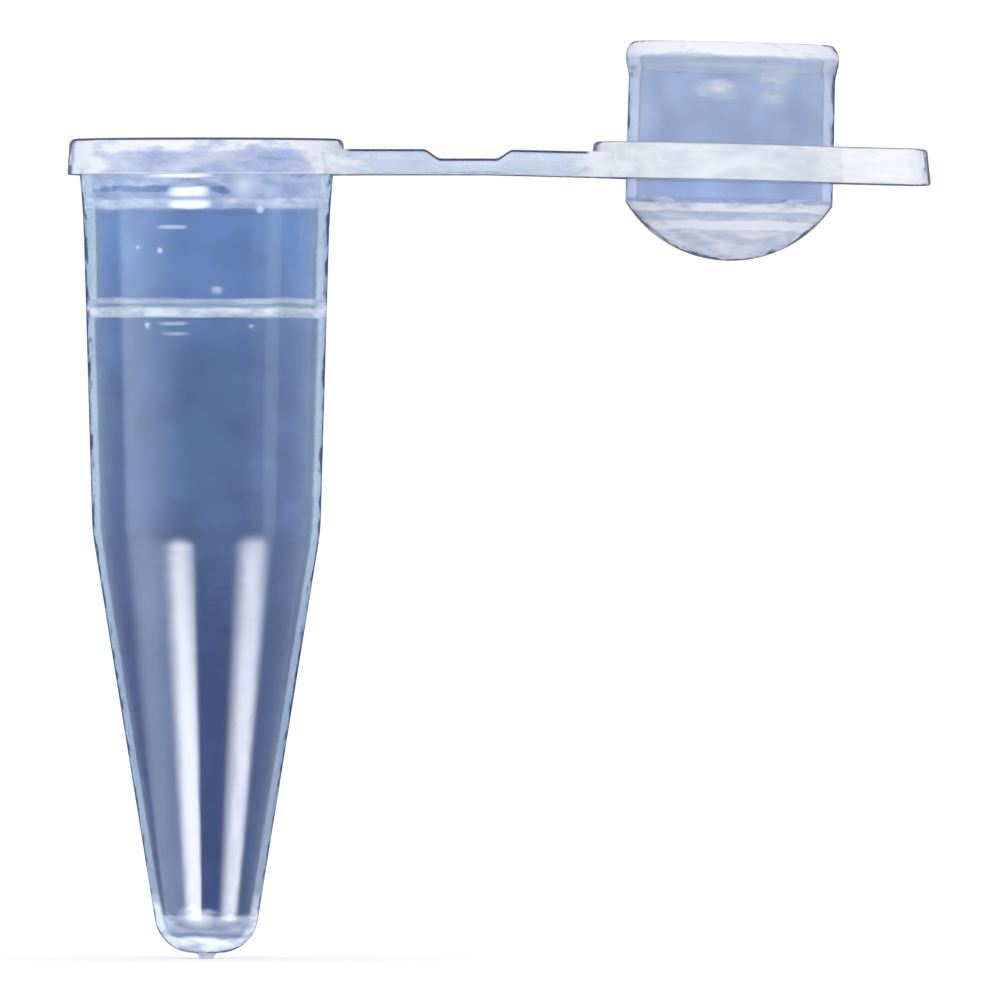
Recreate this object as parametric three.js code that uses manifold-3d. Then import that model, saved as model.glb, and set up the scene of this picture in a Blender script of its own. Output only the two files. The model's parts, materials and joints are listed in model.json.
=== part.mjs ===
// A 0.2 mL thin-wall PCR tube with an attached domed lid, as moulded: open, with the lid out to the side.
// Millimetres, +Z up. The origin is the end of the gate nub, at the bottom of the tube, on the tube's axis.
// The tether and the lid lie towards +X, and every turned section is a lathe about the tube's or the lid's axis.
import * as THREE from 'three';
import { mergeVertices } from 'three/addons/utils/BufferGeometryUtils.js';
import Module from 'manifold-3d';

const wasm = await Module();
wasm.setup();

// Driving dimensions of the tube
const tubeHeight = 20.98; // gate nub's end to the mouth
const nubLength = 0.15;
const nubEndRadius = 0.17;
const nubRootRadius = 0.28;
const rimRadius = 3.5; // rim collar and lid deck, at their upper edge
const rimDraft = 0.06; // how much wider the collar and the deck are at their lower edge
const flangeThickness = 0.92; // rim collar, lid deck and thumb tab
const neckRadius = 3.24; // outer wall where the collar sits
const mouthRadius = 3.04; // inner wall at the mouth
const landRadius = 2.83; // inner wall where the lid's bead seals
const landBottom = 18.0;
const landTop = 19.3; // where the mouth's lead-in starts
const landDraft = 0.04; // radius gained over the land
const coneHalfAngle = THREE.MathUtils.degToRad(9.15);
const shoulder = new THREE.Vector2(2.92, 10.95); // radius and height where the cone meets the barrel, outside
const barrelDraft = 0.0287; // radius gained by the barrel per millimetre of height
const flareStart = 18.1; // height at which the barrel starts to flare to the neck
const flareMiddle = 19.2; // height of the flare curve's control point
const tipRadius = 1.0; // outer corner between the cone and the flat bottom
const tipBoreRadius = 0.8;
const tipThickness = 0.42;
const thinWall = 0.2; // cone, and barrel below the wall ring's top
const thickWall = 0.27; // barrel above the wall ring
const ringBottom = 16.4;
const ringTop = 16.86;
const ringProud = 0.12; // wall ring, above the thin wall

// Driving dimensions of the tether and its living hinge
const tetherThickness = 0.65;
const tetherHalfWidth = 1.3;
const tetherRootSpread = 0.6; // widening on each side where the tether meets a flange
const tetherRootLength = 0.8;
const tetherRootBend = 0.1; // the root's curve bends this far inside the flange's edge
const hingeThickness = 0.41;
const hingeSlit = 0.02; // between the hinge film and the tether half on each side
const rampFootOffset = 0.69; // tether's middle to the foot of each ramp
const rampLength = 0.47;

// Driving dimensions of the lid
const lidOffset = 13.4; // tube's axis to the lid's axis, flat as moulded
const lidDroop = THREE.MathUtils.degToRad(1.4); // how far the open lid hangs below flat
const seatGap = 0.02; // closed lid's deck to the tube's mouth
const cupRadius = 2.65; // outside of the plug and of the dome's wall
const cupBore = 2.38;
const plugLength = 2.6;
const plugDraft = 0.01; // radius lost by the plug from its root to its tip
const plugEdge = 0.08; // chamfer on the bore's side of the plug's tip
const beadRadius = 2.725;
const beadHeight = 0.95; // from the plug's tip to where the bead runs out into its wall
const lipWidth = 0.25; // the bead and the plug's tip share a rounded lip
const lipHeight = 0.4;
const domeRadius = 3.15; // sphere of the dome's outer face
const domeWall = 0.3;
const domeEdge = 19.46; // height where the dome's wall meets its sphere
const tabReach = 5.16; // lid's axis to the thumb tab's end
const tabHalfWidth = 2.1;
const tabCorner = 0.7;
const tabCrown = 0.1; // how far the tab's end bows out past its corners' curve

// Heights worked out from them
const flangeBottom = tubeHeight - flangeThickness;
const tetherTop = flangeBottom + tetherThickness;
const hingeTop = flangeBottom + hingeThickness;
const plugTip = tubeHeight + plugLength;

// The folded hinge film stands on end between the tether's halves, so its length is twice the step from the
// film's top to the mouth. The lid's deck then comes down flat on the tube's mouth.
const filmLength = 2 * (tubeHeight - hingeTop) + seatGap;
const tubePivot = lidOffset / 2 - filmLength / 2;
const lidPivot = lidOffset / 2 + filmLength / 2;

const segments = 48;
const overlap = 0.5; // how far a blank runs past the face that it is cut to

const clearPlastic = new THREE.MeshStandardMaterial({ color: 0x7f97c4, roughness: 0.12, metalness: 0 });
const hazyPlastic = new THREE.MeshStandardMaterial({ color: 0xdfe3f0, roughness: 0.3, metalness: 0 });
const tetherPlastic = new THREE.MeshStandardMaterial({ color: 0xb9c6e2, roughness: 0.22, metalness: 0 });

const point = (radius, height) => new THREE.Vector2(radius, height);

// Revolves a profile of (radius, height) points about Z. Both its ends are on the axis.
function turned(profile) {
  return new THREE.LatheGeometry(profile, segments).rotateX(Math.PI / 2);
}

// Revolves a profile that closes on itself, as a ring's does.
function turnedRing(profile) {
  return turned([...profile, profile[0].clone()]);
}

// Extrudes an outline in the XY plane from one height to another.
function plate(outline, bottom, top) {
  const geometry = new THREE.ExtrudeGeometry(outline, { depth: top - bottom, bevelEnabled: false, curveSegments: 8 });
  return geometry.translate(0, 0, bottom);
}

// Extrudes an outline of (x, height) points along Y, centred on the XZ plane.
function sideProfile(outline, width) {
  const geometry = new THREE.ExtrudeGeometry(outline, { depth: width, bevelEnabled: false, curveSegments: 6 });
  return geometry.translate(0, 0, -width / 2).rotateX(Math.PI / 2);
}

// A closed geometry as a manifold-3d solid.
function solidOf(geometry) {
  const bare = new THREE.BufferGeometry().setAttribute('position', geometry.getAttribute('position').clone());
  bare.setIndex(geometry.getIndex());
  const merged = mergeVertices(bare, 1e-4);
  return new wasm.Manifold(
    new wasm.Mesh({
      numProp: 3,
      vertProperties: merged.getAttribute('position').array,
      triVerts: new Uint32Array(merged.getIndex().array),
    })
  );
}

// A manifold-3d solid as a geometry.
function geometryOf(solid) {
  const mesh = solid.getMesh();
  const geometry = new THREE.BufferGeometry();
  geometry.setAttribute('position', new THREE.BufferAttribute(mesh.vertProperties, 3));
  geometry.setIndex(new THREE.BufferAttribute(mesh.triVerts, 1));
  geometry.computeVertexNormals();
  return geometry;
}

function named(name, geometry, material) {
  const mesh = new THREE.Mesh(geometry, material);
  mesh.name = name;
  return mesh;
}

// Points of the rounded foot of a drafted wall: from a flat floor, round an arc, onto a wall that leans out by
// the cone's half angle and passes through wallPoint. The arc touches both.
function roundedFoot(wallPoint, floorHeight, arcRadius, divisions) {
  const centreHeight = floorHeight + arcRadius;
  const outward = point(Math.cos(coneHalfAngle), -Math.sin(coneHalfAngle));
  const centreRadius = wallPoint.x - (arcRadius - (wallPoint.y - centreHeight) * outward.y) / outward.x;
  const arc = new THREE.EllipseCurve(
    centreRadius, centreHeight, arcRadius, arcRadius, -Math.PI / 2, -coneHalfAngle, false
  );
  return [point(0, floorHeight), ...arc.getPoints(divisions)];
}

// A point of the barrel's outer wall, or of a surface parallel to it and inside it by depth.
function barrelPoint(height, depth = 0) {
  return point(shoulder.x + (height - shoulder.y) * barrelDraft - depth, height);
}

// The thin-walled vessel: neck, barrel, cone and rounded tip, open at the mouth. Its wall gets thicker above the
// wall ring, and its mouth widens upwards to lead the plug in.
function makeTubeBody() {
  const flareFoot = barrelPoint(flareStart);
  const flare = new THREE.QuadraticBezierCurve(
    flareFoot,
    barrelPoint(flareMiddle),
    point(neckRadius, flangeBottom)
  );
  const outer = [
    ...roundedFoot(shoulder, nubLength, tipRadius, 6),
    shoulder,
    ...flare.getPoints(4),
    point(neckRadius, tubeHeight),
  ];
  const innerShoulder = barrelPoint(shoulder.y, thinWall);
  const inner = [
    ...roundedFoot(innerShoulder, nubLength + tipThickness, tipBoreRadius, 5),
    innerShoulder,
    barrelPoint(ringTop, thinWall),
    barrelPoint(ringTop, thickWall),
    point(landRadius, landBottom),
    point(landRadius + landDraft, landTop),
    point(mouthRadius, tubeHeight),
  ];
  return named('tube_body', turned([...outer, ...inner.reverse()]), clearPlastic);
}

// A flange round the mouth or round the lid, with a rounded upper edge. It widens slightly towards its lower edge.
function makeFlange(name, innerRadius, edge) {
  const corner = new THREE.EllipseCurve(rimRadius - edge, tubeHeight - edge, edge, edge, 0, Math.PI / 2, false);
  const profile = [
    point(innerRadius, flangeBottom),
    point(rimRadius + rimDraft, flangeBottom),
    ...corner.getPoints(3),
    point(innerRadius, tubeHeight),
  ];
  return named(name, turnedRing(profile), hazyPlastic);
}

// A low hoop on the inner wall, just below the step where the wall gets thicker.
function makeWallRing() {
  const profile = [
    barrelPoint(ringBottom, thinWall),
    barrelPoint(ringTop, thinWall),
    barrelPoint(ringTop, thinWall + ringProud),
    barrelPoint(ringBottom + ringProud, thinWall + ringProud),
  ];
  return named('wall_ring', turnedRing(profile), hazyPlastic);
}

// The stub left where the moulding gate was broken off.
function makeGateNub() {
  const profile = [
    point(0, 0),
    point(nubEndRadius, 0),
    point(nubRootRadius, nubLength),
    point(0, nubLength),
  ];
  return named('gate_nub', turned(profile), hazyPlastic);
}

// The disc that a flange fills, which cuts the pieces that grow out of its edge.
function flangeDisc() {
  const profile = [
    point(0, flangeBottom - overlap),
    point(rimRadius + rimDraft, flangeBottom - overlap),
    point(rimRadius + rimDraft, flangeBottom),
    point(rimRadius, tubeHeight),
    point(rimRadius, tubeHeight + overlap),
    point(0, tubeHeight + overlap),
  ];
  return solidOf(turned(profile));
}

// Half of the tether in the tube's frame: a strip that runs out from the collar, ramps down to the thickness of
// the hinge film, and ends in a thin lip at the pivot. Its root spreads where it meets the collar.
function makeTetherHalf(name) {
  const root = rimRadius - overlap;
  const end = tubePivot - hingeSlit / 2;
  const rampFoot = lidOffset / 2 - rampFootOffset;
  const rampHead = rampFoot - rampLength;
  const side = new THREE.Shape();
  side.moveTo(root, flangeBottom);
  side.lineTo(end, flangeBottom);
  side.lineTo(end, hingeTop);
  side.lineTo(rampFoot, hingeTop);
  side.bezierCurveTo(rampFoot - rampLength / 3, hingeTop, rampHead + rampLength / 3, tetherTop, rampHead, tetherTop);
  side.lineTo(root, tetherTop);
  side.closePath();

  const spreadHalfWidth = tetherHalfWidth + tetherRootSpread;
  const edgeStart = rimRadius + tetherRootLength;
  const plan = new THREE.Shape();
  plan.moveTo(root, spreadHalfWidth);
  plan.quadraticCurveTo(rimRadius - tetherRootBend, tetherHalfWidth, edgeStart, tetherHalfWidth);
  plan.lineTo(end + overlap, tetherHalfWidth);
  plan.lineTo(end + overlap, -tetherHalfWidth);
  plan.lineTo(edgeStart, -tetherHalfWidth);
  plan.quadraticCurveTo(rimRadius - tetherRootBend, -tetherHalfWidth, root, -spreadHalfWidth);
  plan.closePath();

  const strip = solidOf(sideProfile(side, 2 * spreadHalfWidth))
    .intersect(solidOf(plate(plan, flangeBottom - overlap, tetherTop + overlap)))
    .subtract(flangeDisc());
  return named(name, geometryOf(strip), tetherPlastic);
}

// The film between the two pivots. It stands on end when the lid is closed.
function makeHingeFilm() {
  const start = tubePivot + hingeSlit / 2;
  const end = lidPivot - hingeSlit / 2;
  const outline = new THREE.Shape();
  outline.moveTo(start, flangeBottom);
  outline.lineTo(end, flangeBottom);
  outline.lineTo(end, hingeTop);
  outline.lineTo(start, hingeTop);
  outline.closePath();
  return named('living_hinge', sideProfile(outline, 2 * tetherHalfWidth), tetherPlastic);
}

// The lid's sections are drawn about the lid's own axis, with heights as in the tube's frame.

// The rounded lip at the plug's tip, between two angles measured up from its widest point.
function lip(start, end) {
  const arc = new THREE.EllipseCurve(beadRadius - lipWidth, plugTip - lipHeight, lipWidth, lipHeight, start, end);
  return arc.getPoints(4);
}

// Where the plug's wall runs into the lip.
function lipRoot() {
  return Math.acos((cupRadius - plugDraft - beadRadius + lipWidth) / lipWidth);
}

// The hollow plug that enters the mouth. It runs through the deck, and narrows slightly towards its tip.
function makeSealingPlug() {
  const profile = [
    point(cupBore, flangeBottom),
    point(cupRadius, flangeBottom),
    point(cupRadius, tubeHeight),
    point(cupRadius - plugDraft, plugTip - beadHeight),
    ...lip(lipRoot(), Math.PI / 2),
    point(cupBore + plugEdge, plugTip),
    point(cupBore, plugTip - plugEdge),
  ];
  return named('sealing_plug', turnedRing(profile), clearPlastic);
}

// The raised bead round the plug that makes the seal. It is widest near the tip, and runs out slowly into the wall.
function makeSealBead() {
  const wall = cupRadius - plugDraft;
  const foot = plugTip - beadHeight;
  const middle = (foot + plugTip - lipHeight) / 2;
  const runout = new THREE.CubicBezierCurve(
    point(wall, foot),
    point(wall, middle),
    point(beadRadius, middle),
    point(beadRadius, plugTip - lipHeight)
  );
  const profile = [...runout.getPoints(6), ...lip(0, lipRoot()).slice(1)];
  return named('seal_bead', turnedRing(profile), clearPlastic);
}

// The domed window that a heated cover presses on: a short wall under the deck, closed by a part of a sphere.
function makeLidDome() {
  const centreHeight = domeEdge + Math.sqrt(domeRadius ** 2 - cupRadius ** 2);
  const sphere = (radius, edge) =>
    new THREE.EllipseCurve(0, centreHeight, radius, radius, -Math.PI / 2, -Math.acos(edge / radius), false);
  const profile = [
    ...sphere(domeRadius, cupRadius).getPoints(9),
    point(cupRadius, flangeBottom),
    point(cupBore, flangeBottom),
    ...sphere(domeRadius - domeWall, cupBore).getPoints(8).reverse(),
  ];
  return named('lid_dome', turned(profile), clearPlastic);
}

// The lip that a thumb pushes up to open the lid.
function makeThumbTab() {
  const root = rimRadius - 2 * overlap;
  const outline = new THREE.Shape();
  outline.moveTo(root, -tabHalfWidth);
  outline.lineTo(tabReach - tabCorner, -tabHalfWidth);
  outline.quadraticCurveTo(tabReach - tabCrown, -tabHalfWidth, tabReach, 0);
  outline.quadraticCurveTo(tabReach - tabCrown, tabHalfWidth, tabReach - tabCorner, tabHalfWidth);
  outline.lineTo(root, tabHalfWidth);
  outline.closePath();
  const tab = solidOf(plate(outline, flangeBottom, tubeHeight)).subtract(flangeDisc());
  return named('thumb_tab', geometryOf(tab), hazyPlastic);
}

// The tube's side of the moulding.
const tube = new THREE.Group();
tube.add(makeTubeBody(), makeFlange('rim_collar', neckRadius, 0.16), makeWallRing(), makeGateNub());
tube.add(makeTetherHalf('tether_tube_half'), makeHingeFilm());

// The lid's own frame: its axis is its Z axis. Its tether half is the tube's, turned to point back at the tube.
const lid = new THREE.Group();
const lidTether = new THREE.Group();
lidTether.add(makeTetherHalf('tether_lid_half'));
lidTether.rotation.z = Math.PI;
lid.add(lidTether, makeFlange('lid_deck', cupRadius, 0.12), makeThumbTab());
lid.add(makeSealingPlug(), makeSealBead(), makeLidDome());
lid.position.set(lidOffset - lidPivot, 0, -hingeTop);

// The open lid hangs from its pivot, on the film's top, by the droop.
const hangingLid = new THREE.Group();
hangingLid.add(lid);
hangingLid.position.set(lidPivot, 0, hingeTop);
hangingLid.rotation.y = lidDroop;

const pcrTube = new THREE.Group();
pcrTube.add(tube, hangingLid);

export default pcrTube;
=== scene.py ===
"""A 0.2 mL PCR tube with an attached domed lid, in clear natural polypropylene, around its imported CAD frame.

Every CAD node is replaced by a fine piece with rounded edges. The real thing is one moulding, so the faces
where two pieces meet get a material that lets light straight through: the eye then sees one body of plastic.

Sizes are in millimetres, and meshes are turned into the frame's metres when they are made. +Z is up, the
tube's axis is Z, and the origin is the gate nub's end.
"""
import json
import math

import bmesh
import bpy
from mathutils import Matrix, Vector


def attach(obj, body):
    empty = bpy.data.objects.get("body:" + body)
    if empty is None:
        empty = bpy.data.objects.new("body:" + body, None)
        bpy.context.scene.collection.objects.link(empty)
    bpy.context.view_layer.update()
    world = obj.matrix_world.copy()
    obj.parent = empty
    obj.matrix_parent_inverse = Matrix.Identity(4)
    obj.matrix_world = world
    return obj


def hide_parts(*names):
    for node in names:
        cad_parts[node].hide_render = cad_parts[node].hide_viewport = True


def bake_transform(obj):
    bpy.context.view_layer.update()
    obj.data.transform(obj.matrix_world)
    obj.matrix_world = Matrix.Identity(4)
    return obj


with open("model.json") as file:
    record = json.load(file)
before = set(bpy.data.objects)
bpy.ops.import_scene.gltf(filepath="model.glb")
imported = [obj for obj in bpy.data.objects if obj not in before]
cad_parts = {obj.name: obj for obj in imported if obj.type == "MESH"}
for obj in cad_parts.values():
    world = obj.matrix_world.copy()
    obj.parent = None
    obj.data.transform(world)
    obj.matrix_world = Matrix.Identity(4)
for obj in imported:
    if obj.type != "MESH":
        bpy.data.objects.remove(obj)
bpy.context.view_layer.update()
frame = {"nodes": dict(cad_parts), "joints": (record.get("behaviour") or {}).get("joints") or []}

MM = 0.001
SEGMENTS = 192  # round a turned piece
ARC_STEP = math.radians(9)  # longest step of a rounded corner
ARC_STEPS = 4  # fewest steps of a rounded corner
HOLD = 0.02  # an extra point this far from a rounded corner keeps the flats flat in shading
TOUCH = 0.002  # faces closer than this are the same face
NEAR = 0.02  # a flat facet this close to a round face belongs to it
SHARP = math.radians(32)  # edges steeper than this stay sharp in shading
DRAWN = "drawn"  # the attribute with a point's place as drawn, which materials go by

# The lid hangs from its pivot by the droop. It is measured and drawn flat, about its own axis, then placed.
joints = {joint["name"]: joint for joint in frame["joints"]}
tube_pivot = Vector(joints["tether_fold"]["pos_m"])
lid_pivot = Vector(joints["lid_fold"]["pos_m"])
droop = math.radians(joints["lid_fold"]["range_deg"][1] - joints["tether_fold"]["range_deg"][1])
hanging = Matrix.Translation(lid_pivot) @ Matrix.Rotation(droop, 4, "Y") @ Matrix.Translation(-lid_pivot)


def measured(node, place=Matrix()):
    """Lowest and highest corner of a CAD node in millimetres, with a placement undone."""
    back = place.inverted()
    points = [back @ vertex.co / MM for vertex in frame["nodes"][node].data.vertices]
    low = Vector(min(point[axis] for point in points) for axis in range(3))
    high = Vector(max(point[axis] for point in points) for axis in range(3))
    return low, high


body_low, body_high = measured("tube_body")
collar_low, collar_high = measured("rim_collar")
ring_low, ring_high = measured("wall_ring")
_, nub_high = measured("gate_nub")
_, film_high = measured("living_hinge")
_, strap_high = measured("tether_tube_half")
dome_low, dome_high = measured("lid_dome", hanging)
lid_axis = (dome_low.x + dome_high.x) / 2
lid_place = hanging @ Matrix.Translation((lid_axis * MM, 0, 0))
_, plug_high = measured("sealing_plug", lid_place)
bead_low, bead_high = measured("seal_bead", lid_place)
_, tab_high = measured("thumb_tab", lid_place)

# Tube
mouth = body_high.z
tip = body_low.z
neck_radius = body_high.x
nub_radius = nub_high.x
mouth_radius = 3.04
mouth_rounding = 0.08
land_radius = 2.83
land_bottom = 18.0
land_top = 19.3
land_draft = 0.04
land_rounding = 0.5
lead_ledge = 0.03
shoulder_radius = 2.92
shoulder_height = 10.95
shoulder_rounding = 5.0
cone_slope = math.tan(math.radians(9.15))
barrel_slope = 0.0287
flare_height = 19.2
flare_rounding = 27.0
thin_wall = 0.2
thick_wall = 0.27
floor_height = tip + 0.42
tip_rounding = 1.0
tip_bore_rounding = 0.8
groove_depth = 0.05  # between the wall ring's two beads
bead_rounding = 0.02
nub_end_radius = 0.17
nub_waist = (0.19, 0.08)  # radius and height

# Flanges: the collar round the mouth and the lid's deck
flange_bottom = collar_low.z
flange_radius = collar_high.x  # at the lower edge
flange_draft = 0.06
flange_foot = 0.05  # rounding of the lower edge
collar_edge = 0.16
deck_edge = 0.12

# Strap
middle = (tube_pivot.x + lid_pivot.x) / 2 / MM  # of the hinge film
strap_top = strap_high.z
strap_half_width = film_high.y
strap_spread = strap_high.y - strap_half_width  # on each side, at the root
straight_start = 4.3
ramp_start = middle - 1.16
ramp_end = middle - 0.69
root_x = 3.3  # the strap's root on a flange, from the flange's axis
strap_z = (flange_bottom + strap_top) / 2
deck_z = (flange_bottom + mouth) / 2
film_top = film_high.z
strap_rounding = 0.1
fold_reach = 0.35  # the film bends this far on each side of a pivot

# Lid
cup_radius = dome_high.y
cup_bore = 2.38
plug_draft = 0.01
plug_end = cup_radius - plug_draft
plug_tip = plug_high.z
plug_edge = 0.06  # rounding on the bore's side of the plug's tip
bead_radius = bead_high.y
lip_width = 0.25  # the bead and the plug's tip share a rounded lip
lip_height = 0.4
lip_root = math.acos((plug_end - bead_radius + lip_width) / lip_width)  # where the plug's wall runs into it
dome_radius = 3.15
dome_wall = 0.3
dome_edge = 19.46  # where the dome's wall meets its sphere
dome_centre = dome_edge + math.sqrt(dome_radius**2 - cup_radius**2)
tab_half_width = tab_high.y
tab_reach = tab_high.x
tab_corner = 0.7
tab_crown = 0.1  # how far the tab's end bows out past its corners' curve
tab_end_draft = 0.12
tab_rounding = 0.08


# Outlines of turned pieces: (radius, height) points


def barrel(height, depth=0.0):
    """Radius of the barrel's outer wall, or of the face at a depth inside it."""
    return shoulder_radius + (height - shoulder_height) * barrel_slope - depth


def cone(height, depth=0.0):
    """Radius of the cone's outer wall, or of the face at a depth inside it."""
    return shoulder_radius + (height - shoulder_height) * cone_slope - depth


def flange_face(height, edge):
    """Radius of a flange's outer face, which widens downwards and has a rounded upper edge."""
    share = (height - flange_bottom) / (mouth - flange_bottom)
    above = max(height - (mouth - edge), 0.0)
    return flange_radius - flange_draft * share - edge + math.sqrt(max(edge**2 - above**2, 0.0))


def eased(share):
    """A share from 0 to 1 that starts and ends slowly."""
    return share**2 * (3 - 2 * share)


def rounded(corners):
    """Points of an outline given as (radius, height) or (radius, height, rounding) corners."""
    points = []
    count = len(corners)
    for index, corner in enumerate(corners):
        here = Vector(corner[:2])
        if len(corner) == 2:
            points.append(here)
            continue
        before = Vector(corners[index - 1][:2]) - here
        after = Vector(corners[(index + 1) % count][:2]) - here
        points += arc(here, before.normalized(), after.normalized(), corner[2])
    return points


def arc(corner, before, after, rounding):
    """Points of the arc that rounds a corner, with a holding point outside each end."""
    half = before.angle(after) / 2
    reach = rounding / math.tan(half)
    centre = corner + (before + after).normalized() * rounding / math.sin(half)
    start = corner + before * reach - centre
    sweep = math.copysign(math.pi - 2 * half, start.cross(corner + after * reach - centre))
    steps = max(ARC_STEPS, math.ceil(abs(sweep) / ARC_STEP))
    points = [corner + before * (reach + HOLD)]
    for step in range(steps + 1):
        points.append(centre + Matrix.Rotation(sweep * step / steps, 2) @ start)
    points.append(corner + after * (reach + HOLD))
    return points


def sphere(radius, edge_radius, steps=16):
    """Points of the dome's sphere of a radius, from the axis out to an edge."""
    end = math.asin(edge_radius / radius)
    angles = [end * step / steps for step in range(steps + 1)]
    return [Vector((radius * math.sin(a), dome_centre - radius * math.cos(a))) for a in angles]


def lip(start, end, steps=8):
    """Points of the rounded lip at the plug's tip, between two angles measured up from its widest point."""
    angles = [start + (end - start) * step / steps for step in range(steps + 1)]
    centre = Vector((bead_radius - lip_width, plug_tip - lip_height))
    return [centre + Vector((lip_width * math.cos(a), lip_height * math.sin(a))) for a in angles]


# Meshes: (points, faces)


def turned(outline, closed=True):
    """Revolves an outline about Z. An open outline has both ends on the axis."""
    rings = []
    points = []
    for radius, height in outline:
        count = 1 if radius < TOUCH else SEGMENTS
        rings.append(range(len(points), len(points) + count))
        for step in range(count):
            angle = 2 * math.pi * step / SEGMENTS
            points.append((radius * math.cos(angle), radius * math.sin(angle), height))
    pairs = list(zip(rings, rings[1:] + rings[:1]))
    faces = []
    for low, high in pairs if closed else pairs[:-1]:
        for step in range(SEGMENTS):
            after = (step + 1) % SEGMENTS
            bottom = (low[step % len(low)], low[after % len(low)])
            top = (high[after % len(high)], high[step % len(high)])
            face = list(dict.fromkeys(bottom + top))
            if len(face) > 2:
                faces.append(face)
    return points, faces


def section(half_width, bottom, top, rounding, across=16, corner_steps=4):
    """(y, z) points round a strip: along its top to +Y with rounded corners, then back along its bottom."""
    centre = half_width - rounding
    corner = [math.pi / 2 * step / corner_steps for step in range(corner_steps + 1)]
    side = [(-centre - rounding * math.cos(a), top - rounding + rounding * math.sin(a)) for a in corner]
    side += [(centre * (2 * step / across - 1), top) for step in range(1, across)]
    side += [(centre + rounding * math.sin(a), top - rounding + rounding * math.cos(a)) for a in corner]
    return side + [(y, top + bottom - z) for y, z in reversed(side)]


def lofted(rings):
    """Joins rings of as many points each into a closed body. A cap joins each ring's top to its bottom."""
    count = len(rings[0])
    points = [point for ring in rings for point in ring]
    faces = []
    for start in range(0, len(points) - count, count):
        for index in range(count):
            after = (index + 1) % count
            faces.append([start + index, start + after, start + count + after, start + count + index])
    for start in (0, len(points) - count):
        for index in range(count // 2 - 1):
            opposite = start + count - 1 - index
            faces.append([start + index, start + index + 1, opposite - 1, opposite])
    return points, faces


def piece(name, mesh_data, material, is_weld=None, place=Matrix()):
    """A new object in metres, with smooth faces. A face whose centre passes the weld test gets the weld.

    The test takes the centre's distance from the Z axis, its height and its x.
    """
    points, faces = mesh_data
    mesh = bpy.data.meshes.new(name)
    mesh.from_pydata([Vector(point) * MM for point in points], [], faces)
    mesh.materials.append(material)
    mesh.materials.append(weld)
    build = bmesh.new()
    build.from_mesh(mesh)
    bmesh.ops.remove_doubles(build, verts=build.verts, dist=1e-5 * MM)
    bmesh.ops.recalc_face_normals(build, faces=build.faces)
    for edge in build.edges:
        edge.smooth = edge.calc_face_angle(0.0) < SHARP
    for face in build.faces:
        face.smooth = True
        centre = face.calc_center_median() / MM
        if is_weld and is_weld(math.hypot(centre.x, centre.y), centre.z, centre.x):
            face.material_index = 1
    build.to_mesh(mesh)
    build.free()
    drawn = mesh.attributes.new(DRAWN, "FLOAT_VECTOR", "POINT")
    for vertex, value in zip(mesh.vertices, drawn.data):
        value.vector = vertex.co / MM
    thing = bpy.data.objects.new(name, mesh)
    thing.matrix_world = place
    bpy.context.scene.collection.objects.link(thing)
    return thing


def stand_for(thing, body, node):
    """Puts a piece in the place of a CAD node, on its body."""
    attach(thing, body)
    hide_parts(node)


# Materials

# Painted light: the blue in the milk colours and in the plastics' tints below stands in for blue backdrop
# light seen through the plastic, which has no blue of its own.
blue_milk = (0.80, 0.85, 0.97)
white_milk = (0.94, 0.95, 0.98)
sky = (0.72, 0.86, 1.0)  # tint of the fainter soft boxes


class Nodes:
    """A short way to write a material's or the world's node tree."""

    def __init__(self, owner, output):
        owner.use_nodes = True
        self.tree = owner.node_tree
        self.tree.nodes.clear()
        self.output = self.tree.nodes.new(output)

    def add(self, kind, inputs=None, **settings):
        node = self.tree.nodes.new("ShaderNode" + kind)
        for key, value in settings.items():
            setattr(node, key, value)
        for key, value in (inputs or {}).items():
            if isinstance(value, bpy.types.NodeSocket):
                self.tree.links.new(value, node.inputs[key])
            else:
                node.inputs[key].default_value = value
        return node

    def math(self, operation, a, b=0.0):
        return self.add("Math", {0: a, 1: b}, operation=operation).outputs[0]

    def vector(self, operation, a, b=(0, 0, 0)):
        return self.add("VectorMath", {0: a, 1: b}, operation=operation).outputs[0]

    def scaled(self, colour, factor):
        grey = self.add("CombineXYZ", {0: factor, 1: factor, 2: factor}).outputs[0]
        return self.vector("MULTIPLY", colour, grey)

    def length(self, a):
        return self.add("VectorMath", {0: a}, operation="LENGTH").outputs["Value"]

    def ramp(self, value, low, high, start=0.0, end=1.0):
        """Goes smoothly from start, where value is low, to end, where it is high."""
        inputs = {"Value": value, "From Min": low, "From Max": high, "To Min": start, "To Max": end}
        return self.add("MapRange", inputs, interpolation_type="SMOOTHSTEP").outputs["Result"]

    def noise(self, position, per_mm, detail=3.0):
        return self.add("TexNoise", {"Vector": position, "Scale": per_mm, "Detail": detail}).outputs["Fac"]

    def mix(self, factor, first, second):
        return self.add("MixShader", {0: factor, 1: first, 2: second}).outputs[0]

    def finish(self, shader):
        self.tree.links.new(shader, self.output.inputs["Surface"])


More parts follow.
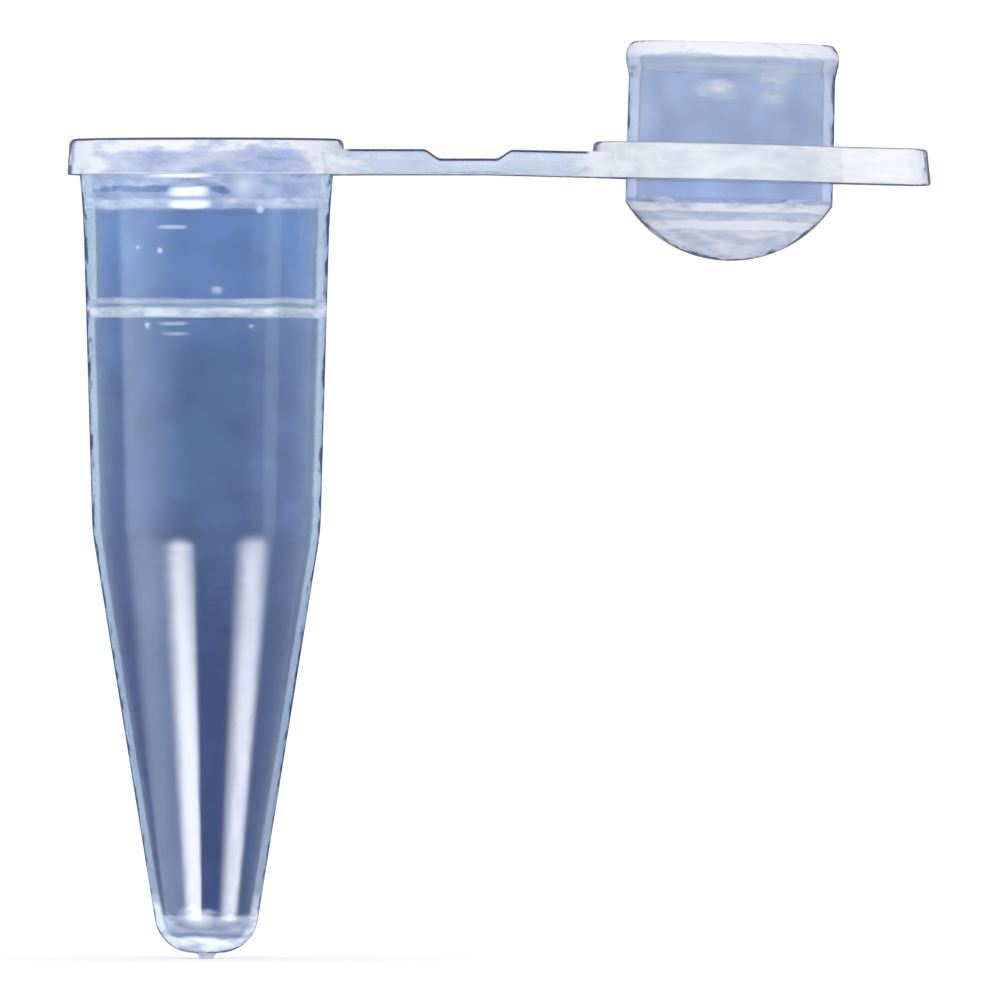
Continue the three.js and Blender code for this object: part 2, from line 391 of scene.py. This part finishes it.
class Plastic(Nodes):
    """A node tree for natural polypropylene. It goes by where each point was drawn, in millimetres."""

    def __init__(self, owner):
        super().__init__(owner, "ShaderNodeOutputMaterial")
        self.position = self.add("Attribute", attribute_name=DRAWN).outputs["Vector"]
        self.x, _, self.z = self.add("SeparateXYZ", {0: self.position}).outputs
        self.facing = self.add("LayerWeight", {"Blend": 0.5}).outputs["Facing"]
        self.cloud = self.noise(self.position, 0.9, 6.0)
        self.grain = self.noise(self.vector("MULTIPLY", self.position, (0.7, 0.7, 2.0)), 1.6)
        geometry = self.add("NewGeometry").outputs
        self.up = self.add("SeparateXYZ", {0: geometry["True Normal"]}).outputs[2]
        tilt = self.math("ABSOLUTE", self.add("SeparateXYZ", {0: geometry["Incoming"]}).outputs[2])
        self.level = self.ramp(tilt, 0.06, 0.24, 1.0, 0.0)  # 1 in level views, 0 in raised ones

    def relief(self):
        """A bump of soft grain and of faint lines along Z."""
        lines = self.noise(self.vector("MULTIPLY", self.position, (3.0, 3.0, 0.15)), 1.6)
        height = self.math("ADD", self.grain, lines)
        return self.add("Bump", {"Strength": 1.0, "Distance": 0.0012 * MM, "Height": height}).outputs[0]

    def clear(self, tint, bump):
        """Clear plastic, with a tint that varies in soft clouds."""
        colour = self.scaled(tint, self.ramp(self.cloud, 0.3, 0.7, 0.9, 1.1))
        inputs = {"Base Color": colour, "Normal": bump}
        inputs.update({"Roughness": 0.05, "IOR": 1.49, "Transmission Weight": 1.0})
        return self.add("BsdfPrincipled", inputs).outputs[0]

    def milky(self, milk, bump):
        """Milky plastic, which has a sheen and lets a part of the light through."""
        milk = (*milk, 1.0)
        shine = self.add("BsdfPrincipled", {"Base Color": milk, "Roughness": 0.25, "Normal": bump}).outputs[0]
        glow = self.add("BsdfTranslucent", {"Color": milk}).outputs[0]
        return self.mix(0.3, shine, glow)

    def wall_tint(self, outer, bore):
        """The tube's tint: its bore has its own, paler near the mouth as painted light, and both are deeper in
        the cone as painted shade.
        """
        radius = self.length(self.vector("MULTIPLY", self.position, (1, 1, 0)))
        above = self.math("SUBTRACT", self.z, shoulder_height)
        widening = self.math("MULTIPLY", self.math("MAXIMUM", above, 0.0), barrel_slope)
        narrowing = self.math("MULTIPLY", self.math("MINIMUM", above, 0.0), cone_slope)
        lean = self.math("ADD", widening, narrowing)
        inside = self.math("LESS_THAN", self.math("SUBTRACT", radius, lean), shoulder_radius - thin_wall / 2)
        # painted light: the bore's tint grows paler towards the mouth
        bore = self.scaled(bore, self.ramp(self.z, 14.0, 19.5, 1.0, 1.8))
        tint = self.add("MixRGB", {0: inside, 1: (*outer, 1.0), 2: bore}).outputs[0]
        # painted shade: both tints grow darker down into the cone
        painted_cone_shade = {0: self.ramp(self.z, 7.0, 12.0), 1: (0.7, 0.7, 0.82, 1.0), 2: (1, 1, 1, 1)}
        return self.vector("MULTIPLY", tint, self.add("MixRGB", painted_cone_shade).outputs[0])

    def haze(self, face, edge, full_edge, mottle):
        """Patchy haze: one share on faces turned to the eye, growing to another on those seen edge-on."""
        patchy = self.ramp(self.grain, 0.25, 0.75, 1 - mottle, 1 + mottle)
        return self.math("MULTIPLY", self.ramp(self.facing, 0.15, full_edge, face, edge), patchy)

    def with_bands(self, share, bands):
        """Adds hazy hoops (height, half height, haze). A fourth value is the least obliqueness they need."""
        wavy = self.math("ADD", self.z, self.ramp(self.cloud, 0.3, 0.7, -0.02, 0.02))
        for height, half, amount, *oblique in bands:
            away = self.math("ABSOLUTE", self.math("SUBTRACT", wavy, height))
            amount = self.ramp(self.grain, 0.3, 0.7, 0.5 * amount, 1.5 * amount)
            if oblique:
                amount = self.math("MULTIPLY", amount, self.ramp(self.facing, oblique[0], oblique[0] + 0.2))
            share = self.math("ADD", share, self.ramp(away, 0.5 * half, half, amount, 0.0))
        return share

    def with_marks(self, share, marks):
        """Adds hazy spots (centre, half size, haze), or clear ones where the haze is negative."""
        for centre, half, amount in marks:
            away = self.vector("DIVIDE", self.vector("SUBTRACT", self.position, centre), half)
            if half[0] > 3 * half[2]:  # a bar, with squarer ends
                away = self.vector("MULTIPLY", away, away)
            away = self.math("ADD", self.length(away), self.ramp(self.grain, 0.3, 0.7, -0.3, 0.3))
            share = self.math("ADD", share, self.ramp(away, 0.0, 1.0, amount, 0.0))
        return share

    def painted_silhouette_shade(self):
        """Painted shade: a dark, broken line along the silhouette, but not on level tops in raised views."""
        breaks = self.ramp(self.noise(self.position, 2.5), 0.35, 0.65, -0.07, 0.1)
        line = self.ramp(self.math("ADD", self.facing, breaks), 0.76, 0.92, 0.0, 0.8)
        off_tops = self.math("MAXIMUM", self.level, self.ramp(self.up, 0.85, 0.97, 1.0, 0.0))
        return self.math("MULTIPLY", line, off_tops)

    def painted_edge_shade(self, slope, strength, span):
        """Painted shade: a dark line on faces that look up by a slope but aren't level, in a span (middle,
        half) of x.
        """
        rising = self.ramp(self.up, slope, slope + 0.2)
        sloping = self.math("MULTIPLY", rising, self.ramp(self.up, 0.96, 0.995, strength, 0.0))
        line = self.math("MULTIPLY", sloping, self.level)
        if span:
            away = self.math("ABSOLUTE", self.math("SUBTRACT", self.x, span[0]))
            line = self.math("MULTIPLY", line, self.ramp(away, span[1] - 0.15, span[1], 1.0, 0.0))
        return line

    def inside(self, boxes):
        """1 inside any of some boxes (centre, half size), and 0 elsewhere."""
        in_any = 0.0
        for centre, half in boxes:
            away = self.vector("ABSOLUTE", self.vector("SUBTRACT", self.position, centre))
            within = self.add("SeparateXYZ", {0: self.vector("DIVIDE", away, half)}).outputs
            most = self.math("MAXIMUM", self.math("MAXIMUM", within[0], within[1]), within[2])
            in_any = self.math("MAXIMUM", in_any, self.math("LESS_THAN", most, 1.0))
        return in_any


def weld_material():
    """For faces where two pieces of the one moulding meet: light goes straight through."""
    material = bpy.data.materials.new("weld")
    nodes = Nodes(material, "ShaderNodeOutputMaterial")
    nodes.finish(nodes.add("BsdfTransparent").outputs[0])
    return material


def plastic(
    name,
    tint,
    milk,
    haze,
    edge_haze,
    full_edge=0.95,
    mottle=0.2,
    bands=(),
    marks=(),
    welds=(),
    bore_tint=None,
    painted_edge_shade=None,
    edge_span=None,
):
    """Natural polypropylene: clear plastic whose blue tint is painted light, under a share of milky haze, with
    painted shade in dark lines at its edges.

    Inside a weld box, a face is a weld. A painted edge shade is (slope, strength); its span is (middle, half)
    in x.
    """
    material = bpy.data.materials.new(name)
    nodes = Plastic(material)
    bump = nodes.relief()
    if bore_tint:
        tint = nodes.wall_tint(tint, bore_tint)
    share = nodes.haze(haze, edge_haze, full_edge, mottle)
    share = nodes.with_marks(nodes.with_bands(share, bands), marks)
    share = nodes.math("MAXIMUM", nodes.math("MINIMUM", share, 1.0), 0.0)
    shader = nodes.mix(share, nodes.clear(tint, bump), nodes.milky(milk, bump))

    line = nodes.painted_silhouette_shade()
    if painted_edge_shade:
        line = nodes.math("MAXIMUM", line, nodes.painted_edge_shade(*painted_edge_shade, edge_span))
    # painted shade: a dark sheet mixed in along the silhouette and the edge lines
    dark = nodes.add("BsdfTransparent", {"Color": (0.06, 0.08, 0.22, 1.0)}).outputs[0]
    shader = nodes.mix(line, shader, dark)
    if welds:
        shader = nodes.mix(nodes.inside(welds), shader, nodes.add("BsdfTransparent").outputs[0])
    nodes.finish(shader)
    return material


def root_box(x):
    """The box at an x in which a flange's face is a weld to the strap's root."""
    return (x, 0, strap_z), (0.4, strap_high.y - 2 * NEAR, (strap_top - flange_bottom) / 2 - NEAR / 2)


def body_plastic():
    """The thin wall, with its bands, the specks and marks on its front, and the pool of light in its tip."""
    front = -barrel(land_top)
    dashes = (
        ((-0.68, front, flange_bottom - 0.05), (1.0, 1.0, 0.06), 0.8),
        ((-0.42, front, 19.6), (0.58, 1.0, 0.15), 0.8),
        ((-0.42, front, 19.27), (0.58, 1.0, 0.13), 0.8),
        ((-0.8, front, 18.7), (0.45, 0.8, 0.06), 0.3),
        ((-0.8, front, 16.24), (0.45, 0.8, 0.06), 0.25),
        ((-0.8, front, 15.98), (0.45, 0.8, 0.06), 0.2),
    )
    specks = (
        ((1.4, front, 19.16), (0.13, 1.0, 0.13), 0.5),
        ((0.32, front, 17.1), (0.22, 0.6, 0.14), 0.4),
        ((-1.73, front, 18.2), (0.15, 1.2, 0.14), 1.1),
        ((-1.14, front, 18.1), (0.12, 1.2, 0.12), 0.6),
        ((-1.47, front, 16.2), (0.14, 1.2, 0.13), 0.8),
        ((1.16, front, 16.17), (0.15, 1.2, 0.12), 0.6),
    )
    neck_clouds = (
        ((-2.0, front, 19.68), (1.5, 2.0, 0.1), -0.3),
        ((0.38, front, 19.65), (0.35, 1.0, 0.2), -0.3),
        ((1.0, front, 19.75), (0.45, 1.0, 0.45), 0.25),
    )
    tip_pool = ((-0.15, -cone(1.1), 1.1), (0.6, 0.7, 0.35), 0.45)
    ring_ends = tuple(
        ((side * barrel(ring_low.z), 0, ring_low.z + 0.2), (0.5, 2.5, 0.25), 0.8) for side in (-1, 1)
    )
    # painted highlights: the hoops at the land's top and at the wall ring's two edges whiten the lines where
    # those steps catch the light
    bands = (
        (19.75, 0.7, 0.24),
        (land_top, 0.17, 0.15),
        (ring_high.z - 0.04, 0.1, 0.2),
        (ring_low.z + 0.12, 0.16, 0.4),
        (floor_height + 0.34, 0.28, 0.25),
        (floor_height - 0.25, 0.3, 0.9),
        (1.0, 0.75, 0.7, 0.4),
    )
    return plastic(
        "clear_body",
        (0.45, 0.58, 0.66),
        blue_milk,
        haze=0.015,
        edge_haze=0.05,
        bands=bands,
        marks=(*dashes, *specks, *neck_clouds, tip_pool, *ring_ends),
        bore_tint=(0.13, 0.19, 0.39),
    )


def collar_plastic():
    """Patchy at the front, white at the upper edge and at the end where the strap starts."""
    strap_end = ((flange_radius - 0.3, 0, deck_z), (0.7, 4.0, 1.0), 0.6)
    return plastic(
        "milky_collar",
        (0.65, 0.74, 0.9),
        white_milk,
        haze=0.4,
        edge_haze=1.0,
        full_edge=0.5,
        mottle=0.5,
        bands=((mouth - 0.1, 0.32, 0.5),),
        marks=(strap_end,),
        welds=(root_box(root_x),),
        painted_edge_shade=(0.5, 0.9),
    )


def deck_plastic():
    tab_root = ((root_x - 0.3, 0, deck_z), (0.7, tab_half_width - NEAR, (mouth - flange_bottom) / 2 - 0.001))
    return plastic(
        "milky_deck",
        (0.8, 0.86, 0.96),
        white_milk,
        haze=0.75,
        edge_haze=1.0,
        full_edge=0.7,
        welds=(root_box(-root_x), tab_root),
        painted_edge_shade=(0.7, 0.6),
    )


def thick_plastic():
    """For the thumb tab and the gate nub."""
    tint = (0.9, 0.93, 0.98)
    return plastic("milky_section", tint, white_milk, haze=0.9, edge_haze=1.0, painted_edge_shade=(0.5, 0.8))


def ring_plastic():
    """Whitest at the two ends that the eye sees along the hoop."""
    ends = (((-2.7, 0, ring_high.z), (1.5, 4.0, 0.7), 0.5), ((2.7, 0, ring_high.z), (1.2, 4.0, 0.7), 0.5))
    return plastic("milky_ring", (0.75, 0.82, 0.93), white_milk, haze=0.55, edge_haze=0.98, marks=ends)


def strap_plastic():
    """Whiter at both roots. The painted dark line follows the upper edges between the two flanges."""
    roots = tuple(((x, 0, flange_bottom), (1.1, 5.0, 2.0), 0.8) for x in (root_x, 2 * middle - root_x))
    return plastic(
        "hazy_strap",
        (0.5, 0.61, 0.79),
        white_milk,
        haze=0.18,
        edge_haze=0.7,
        mottle=0.4,
        marks=roots,
        painted_edge_shade=(0.15, 0.9),
        edge_span=(middle, middle - flange_radius),
    )


def cup_plastic():
    """The plug: white at its tip, with two painted highlights below it: hazy spots that stand in for
    reflections of soft light on its curved wall.
    """
    # painted highlights: two hazy spots where soft light is reflected
    spots = (
        ((-0.43, -cup_radius, 22.36), (0.85, 1.3, 0.35), 0.5),
        ((1.18, -cup_radius, 22.46), (0.65, 1.3, 0.65), 0.35),
    )
    bands = ((plug_tip, 0.45, 1.4), (22.2, 2.5, 0.02))
    tint = (0.53, 0.62, 0.78)
    return plastic("clear_cup", tint, white_milk, haze=0.04, edge_haze=0.2, bands=bands, marks=spots)


def dome_plastic():
    """The dome, with painted highlights: two white hoops at its edge, where its corners catch the light."""
    # painted highlights: hazy hoops at the dome's edge
    bands = ((dome_edge - 0.1, 0.14, 0.7), (18.9, 0.14, 0.6), (18.6, 0.8, 0.5))
    tint = (0.54, 0.64, 0.84)
    return plastic("clear_dome", tint, (0.9, 0.92, 1.0), haze=0.08, edge_haze=0.25, bands=bands)


# Pieces on the tube


def make_tube_body(material):
    """The thin-walled vessel. Its outline runs up the outside, over the mouth and down the bore."""
    outline = rounded(
        [
            (0, tip),
            (nub_radius, tip),
            (cone(tip), tip, tip_rounding),
            (shoulder_radius, shoulder_height, shoulder_rounding),
            (barrel(flare_height), flare_height, flare_rounding),
            (neck_radius, flange_bottom),
            (neck_radius, mouth),
            (mouth_radius, mouth, mouth_rounding),
            (land_radius + land_draft + lead_ledge, land_top),
            (land_radius + land_draft, land_top),
            (land_radius, land_bottom, land_rounding),
            (barrel(ring_high.z, thick_wall), ring_high.z),
            (barrel(ring_high.z, thin_wall), ring_high.z),
            (barrel(ring_low.z, thin_wall), ring_low.z),
            (shoulder_radius - thin_wall, shoulder_height, shoulder_rounding),
            (cone(floor_height, thin_wall), floor_height, tip_bore_rounding),
            (0, floor_height),
        ]
    )

    def is_weld(radius, height, _):
        at_collar = radius > neck_radius - NEAR and height > flange_bottom
        at_nub = radius < nub_radius and height < tip + TOUCH
        on_bore = ring_high.x - thin_wall / 2 < radius < ring_high.x
        at_ring = on_bore and ring_low.z < height < ring_high.z + TOUCH
        return at_collar or at_nub or at_ring

    body = piece("tube_body_clear", turned(outline, closed=False), material, is_weld)
    stand_for(body, "tube", "tube_body")


def make_flange(name, inner_radius, edge, material, place=Matrix()):
    """A collar or deck, with rounded edges outside. Its inner face is a weld."""
    outline = rounded(
        [
            (inner_radius, flange_bottom),
            (flange_radius, flange_bottom, flange_foot),
            (flange_radius - flange_draft, mouth, edge),
            (inner_radius, mouth),
        ]
    )

    def is_weld(radius, height, _):
        return radius < inner_radius + TOUCH

    return piece(name, turned(outline), material, is_weld, place)


def make_rim_collar(material):
    collar = make_flange("rim_collar_ring", neck_radius, collar_edge, material)
    stand_for(collar, "tube", "rim_collar")


def make_wall_ring(material):
    """Two low beads with a groove between them, on the bore."""
    crest = barrel(ring_high.z, thick_wall) - groove_depth
    groove = crest + groove_depth
    low, high = ring_low.z, ring_high.z
    step = (high - low) / 6
    outline = rounded(
        [
            (barrel(low, thin_wall), low),
            (barrel(high, thin_wall), high),
            (barrel(high, thick_wall), high),
            (crest, high - bead_rounding / 2, bead_rounding / 2),
            (crest, high - step, bead_rounding),
            (groove, high - 2 * step, bead_rounding),
            (groove, high - 3 * step, bead_rounding),
            (crest, high - 4 * step, bead_rounding),
            (crest, low + step, bead_rounding),
        ]
    )
    wall = barrel(low, thin_wall) - NEAR

    def is_weld(radius, height, _):
        on_wall = radius > wall and height > low + TOUCH
        on_step = radius > crest + groove_depth / 2 and height > high - TOUCH
        return on_wall or on_step

    ring = piece("wall_ring_beads", turned(outline), material, is_weld)
    stand_for(ring, "tube", "wall_ring")


def make_gate_nub(material):
    outline = rounded([(0, 0), (nub_end_radius, 0, 0.03), (*nub_waist, 0.04), (nub_radius, tip), (0, tip)])

    def is_weld(radius, height, _):
        return height > tip - TOUCH

    nub = piece("gate_nub_stub", turned(outline, closed=False), material, is_weld)
    stand_for(nub, "tube", "gate_nub")


def strap_rings():
    """Rings of the tube's half of the strap, from the collar's face to the middle of the hinge film."""
    rings = []
    root_steps, ramp_steps, film_steps = 10, 8, 28
    for step in range(root_steps + 1):
        share = step / root_steps
        half_width = strap_half_width + strap_spread * (1 - share) ** 2
        ring = []
        for y, z in section(half_width, flange_bottom, strap_top, strap_rounding):
            root = math.sqrt(flange_face(z, collar_edge) ** 2 - y**2)
            ring.append((root + (straight_start - root) * share, y, z))
        rings.append(ring)
    for step in range(ramp_steps + 1):
        share = step / ramp_steps
        top = strap_top + (film_top - strap_top) * eased(share)
        x = ramp_start + (ramp_end - ramp_start) * share
        rings.append([(x, y, z) for y, z in section(strap_half_width, flange_bottom, top, strap_rounding)])
    for step in range(1, film_steps + 1):
        x = ramp_end + (middle - ramp_end) * step / film_steps
        film = section(strap_half_width, flange_bottom, film_top, strap_rounding)
        rings.append([(x, y, z) for y, z in film])
    return rings


def hung(point):
    """A point of the lid's half of the strap, turned by the droop about the lid's pivot, in a smooth bend."""
    pivot = lid_pivot / MM
    share = min(max((point.x - pivot.x + fold_reach) / (2 * fold_reach), 0.0), 1.0)
    turn = Matrix.Rotation(droop * eased(share), 3, "Y")
    return pivot + turn @ (point - pivot)


def make_strap(material):
    """The strap in two halves, which meet in the middle of the hinge film. The lid's half is drawn bent by the
    droop at the lid's pivot.
    """

    def is_weld(radius, height, x):
        return abs(x - middle) < TOUCH or radius < flange_face(height, collar_edge) + NEAR

    rings = strap_rings()
    tube_half = piece("strap_tube_half", lofted(rings), material, is_weld)
    mirrored = [[Vector((2 * middle - x, y, z)) for x, y, z in ring] for ring in rings]

    def is_lid_weld(radius, height, x):
        return abs(x - middle) < TOUCH

    points, faces = lofted([[hung(point) for point in ring] for ring in mirrored])
    lid_half = piece("strap_lid_half", (points, faces), material, is_lid_weld)
    root_faces = len(rings[0]) // 2 - 1
    cap_start = len(faces) - 2 * root_faces
    for face in lid_half.data.polygons[cap_start:cap_start + root_faces]:
        face.material_index = 1

    for half, bodies, pivot in (
        (tube_half, ("tube", "hinge"), tube_pivot),
        (lid_half, ("hinge", "lid"), lid_pivot),
    ):
        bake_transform(half)
    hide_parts("tether_tube_half", "living_hinge")
    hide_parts("tether_lid_half")


# Pieces on the lid


def make_lid_deck(material):
    deck = make_flange("lid_deck_ring", cup_radius, deck_edge, material, lid_place)
    stand_for(deck, "lid", "lid_deck")


def make_sealing_plug(material):
    """The hollow plug. It runs through the deck, and ends in a rounded lip."""
    outline = rounded(
        [
            (cup_bore, flange_bottom),
            (cup_radius, flange_bottom),
            (cup_radius, mouth),
            (plug_end, bead_low.z),
            *lip(lip_root, math.pi / 2),
            (cup_bore, plug_tip, plug_edge),
        ]
    )
    lip_foot = lip(lip_root, lip_root, 1)[0].y

    def is_weld(radius, height, _):
        in_deck = radius > cup_radius - TOUCH and height < mouth
        on_dome = height < flange_bottom + TOUCH
        under_bead = bead_low.z < height < lip_foot and radius > plug_end - TOUCH
        return in_deck or on_dome or under_bead

    plug = piece("sealing_plug_cup", turned(outline), material, is_weld, lid_place)
    stand_for(plug, "lid", "sealing_plug")


def make_seal_bead(material):
    """The bead runs out of the plug's wall without a crease, and shares the lip at its tip."""
    low, high = bead_low.z, plug_tip - lip_height
    steps = 14
    outline = []
    for step in range(steps):
        share = step / steps
        radius = plug_end + (bead_radius - plug_end) * eased(share)
        outline.append(Vector((radius, low + (high - low) * share)))
    outline += lip(0, lip_root)

    def is_weld(radius, height, _):
        return radius < plug_end + TOUCH and height > (low + high) / 2

    bead = piece("seal_bead_bulge", turned(outline), material, is_weld, lid_place)
    stand_for(bead, "lid", "seal_bead")


def make_lid_dome(material):
    outer = sphere(dome_radius, cup_radius)
    inner = sphere(dome_radius - dome_wall, cup_bore)
    top = [Vector((cup_radius, flange_bottom)), Vector((cup_bore, flange_bottom))]

    def is_weld(radius, height, _):
        return height > flange_bottom - TOUCH

    outline = [*outer, *top, *reversed(inner)]
    dome = piece("lid_dome_window", turned(outline, closed=False), material, is_weld, lid_place)
    stand_for(dome, "lid", "lid_dome")


def tab_end(y, z):
    """x of the thumb tab's outer end: a curve in plan, leaning in towards its top."""
    t = math.sqrt(max(1 - abs(y) / tab_half_width, 0.0))
    corner, control = tab_reach - tab_corner, tab_reach - tab_crown
    plan = corner * (1 - t) ** 2 + 2 * control * t * (1 - t) + tab_reach * t**2
    return plan - tab_end_draft * (z - flange_bottom) / (mouth - flange_bottom)


def make_thumb_tab(material):
    rings = []
    steps, end_steps = 12, 4
    for step in range(steps + 1):
        share = step / steps
        ring = []
        for y, z in section(tab_half_width, flange_bottom, mouth, tab_rounding):
            root = math.sqrt(flange_face(z, deck_edge) ** 2 - y**2)
            ring.append((root + (tab_end(y, z) - tab_rounding - root) * share, y, z))
        rings.append(ring)
    for step in range(1, end_steps + 1):
        angle = math.pi / 2 * step / end_steps
        inset = tab_rounding * (1 - math.cos(angle))
        out = tab_rounding * math.sin(angle)
        ring = section(tab_half_width - inset, flange_bottom + inset, mouth - inset, tab_rounding - inset)
        rings.append([(tab_end(y, z) - tab_rounding + out, y, z) for y, z in ring])

    def is_weld(radius, height, _):
        return radius < flange_face(height, deck_edge) + NEAR

    tab = piece("thumb_tab_lip", lofted(rings), material, is_weld, lid_place)
    stand_for(tab, "lid", "thumb_tab")


# Stage


def make_floor():
    reach = 2.0  # metres
    mesh = bpy.data.meshes.new("floor")
    corners = [(-reach, -reach, 0), (reach, -reach, 0), (reach, reach, 0), (-reach, reach, 0)]
    mesh.from_pydata(corners, [], [(0, 1, 2, 3)])
    material = bpy.data.materials.new("pale_floor")
    nodes = Nodes(material, "ShaderNodeOutputMaterial")
    paper = nodes.add("BsdfDiffuse", {"Color": (0.9, 0.9, 0.9, 1.0)}).outputs[0]
    lift = nodes.add("Emission", {"Color": (1, 1, 1, 1), "Strength": 0.15}).outputs[0]
    nodes.finish(nodes.add("AddShader", {0: paper, 1: lift}).outputs[0])
    mesh.materials.append(material)
    floor = bpy.data.objects.new("floor", mesh)
    bpy.context.scene.collection.objects.link(floor)
    floor.visible_glossy = False


def make_world():
    """White to the camera and through the plastic. What plastic mirrors is blue, and darker from below."""
    world = bpy.data.worlds.new("studio")
    bpy.context.scene.world = world
    nodes = Nodes(world, "ShaderNodeOutputWorld")
    path = nodes.add("LightPath").outputs
    ray = nodes.add("TexCoord").outputs["Generated"]
    up = nodes.add("SeparateXYZ", {0: ray}).outputs[2]
    above = nodes.math("MAXIMUM", nodes.ramp(up, -0.2, -0.06), path["Is Camera Ray"])
    mirrored = nodes.math("MULTIPLY", path["Is Reflection Ray"], path["Is Glossy Ray"])
    colour = nodes.add("MixRGB", {0: mirrored, 1: (1, 1, 1, 1), 2: (0.25, 0.42, 0.9, 1)}).outputs[0]
    colour = nodes.add("MixRGB", {0: above, 1: (0.08, 0.11, 0.24, 1), 2: colour}).outputs[0]
    nodes.finish(nodes.add("Background", {"Color": colour, "Strength": 1.05}).outputs[0])


def collected(name, *pieces):
    """A collection of pieces, for the lights that only they see."""
    collection = bpy.data.collections.new(name)
    for piece_name in pieces:
        collection.objects.link(bpy.data.objects[piece_name])
    return collection


def make_light(
    name,
    lit,
    azimuths,
    heights,
    distance,
    radiance,
    near=0.2,
    far=0.2,
    top=0.2,
    bottom=0.0,
    tint=(1, 1, 1),
):
    """A soft box that only the lit pieces see. Azimuth 0 is towards the camera, and 90 towards +X.

    It spans two azimuths in degrees and two heights in millimetres at a distance. It fades over the near
    share of its width on the side towards the camera and over the far share on the other side. It fades over
    the top share of its height, with an arched upper edge, and over the bottom share.
    """
    first, last = (math.radians(azimuth) for azimuth in azimuths)
    azimuth = (first + last) / 2
    centre = Vector((math.sin(azimuth) * distance, -math.cos(azimuth) * distance, sum(heights) / 2))
    light = bpy.data.lights.new(name, "AREA")
    light.shape = "RECTANGLE"
    light.size = 2 * distance * math.tan(abs(last - first) / 2) * MM
    light.size_y = (heights[1] - heights[0]) * MM
    light.energy = 4 * radiance * light.size * light.size_y
    nodes = Nodes(light, "ShaderNodeOutputLight")
    across, along, _ = nodes.add("SeparateXYZ", {0: nodes.add("NewGeometry").outputs["Parametric"]}).outputs
    if azimuth > 0:
        near, far = far, near
    fade = nodes.math("MULTIPLY", nodes.ramp(across, 0.0, far), nodes.ramp(across, 1 - near, 1.0, 1.0, 0.0))
    sideways = nodes.math("SUBTRACT", across, 0.5)
    arch = nodes.math("MULTIPLY", nodes.math("MULTIPLY", sideways, sideways), 3 * top)
    upper = nodes.ramp(nodes.math("ADD", along, arch), 1 - top, 1.0, 1.0, 0.0)
    fade = nodes.math("MULTIPLY", fade, nodes.math("MULTIPLY", upper, upper))
    if bottom:
        fade = nodes.math("MULTIPLY", fade, nodes.ramp(along, 0.0, bottom))
    nodes.finish(nodes.add("Emission", {"Color": (*tint, 1), "Strength": fade}).outputs[0])

    box = bpy.data.objects.new(name, light)
    box.location = centre * MM
    box.rotation_euler = Vector((centre.x, centre.y, 0)).to_track_quat("Z", "Y").to_euler()
    box.visible_camera = False
    box.visible_transmission = False
    bpy.context.scene.collection.objects.link(box)
    box.light_linking.receiver_collection = lit
    box.light_linking.blocker_collection = lit


def make_lights():
    """Close boxes below the floor make two bright streaks and a haze in the clear cone, and tall ones make
    the pale bands up the barrel. The milky pieces have a soft key light."""
    clear = collected("clear_pieces", "tube_body_clear")
    close = 120
    make_light("left_streak_box", clear, (-7, -54), (-45, -10), close, 17.0, near=0.2, far=0.5, top=0.66)
    make_light("left_haze_box", clear, (-36, -112), (-50, -8), close, 3.2, far=0.25, top=0.4, tint=sky)
    make_light("right_streak_box", clear, (24, 80), (-45, -6), close, 13.0, near=0.5, far=0.35, top=0.6)
    tall = {"top": 0.1, "tint": sky}
    away = 300
    make_light("left_side_box", clear, (-20, -94), (-90, 28), away, 2.9, near=0.75, bottom=0.35, **tall)
    make_light("right_side_box", clear, (38, 126), (-115, 28), away, 0.6, far=0.1, **tall)
    make_light("right_band_box", clear, (56, 78), (-90, 28), away, 1.3, 0.3, 0.3, bottom=0.35, **tall)

    milky = collected(
        "milky_pieces",
        "rim_collar_ring",
        "lid_deck_ring",
        "thumb_tab_lip",
        "strap_tube_half",
        "strap_lid_half",
        "gate_nub_stub",
        "sealing_plug_cup",
        "seal_bead_bulge",
    )
    make_light("key_box", milky, (-50, 10), (40, 280), away, 0.8)


def make_camera():
    """Level with the middle of the part and square on to it, and so far away that the view is nearly flat."""
    middle_x, distance, middle_z = 7.514, 711.0, 11.74
    camera = bpy.data.objects.new("camera", bpy.data.cameras.new("camera"))
    camera.data.lens = 1000
    camera.data.sensor_width = 36
    camera.data.clip_end = 100
    camera.location = (middle_x * MM, -distance * MM, middle_z * MM)
    camera.rotation_euler = (math.pi / 2, 0, 0)
    bpy.context.scene.collection.objects.link(camera)
    bpy.context.scene.camera = camera


weld = weld_material()
thick = thick_plastic()
cup = cup_plastic()
make_tube_body(body_plastic())
make_rim_collar(collar_plastic())
make_wall_ring(ring_plastic())
make_gate_nub(thick)
make_strap(strap_plastic())
make_lid_deck(deck_plastic())
make_sealing_plug(cup)
make_seal_bead(cup)
make_lid_dome(dome_plastic())
make_thumb_tab(thick)

make_floor()
make_world()
make_lights()
make_camera()

scene = bpy.context.scene
scene.view_settings.view_transform = "Standard"
scene.cycles.max_bounces = 16
scene.cycles.transmission_bounces = 16
scene.cycles.transparent_max_bounces = 32
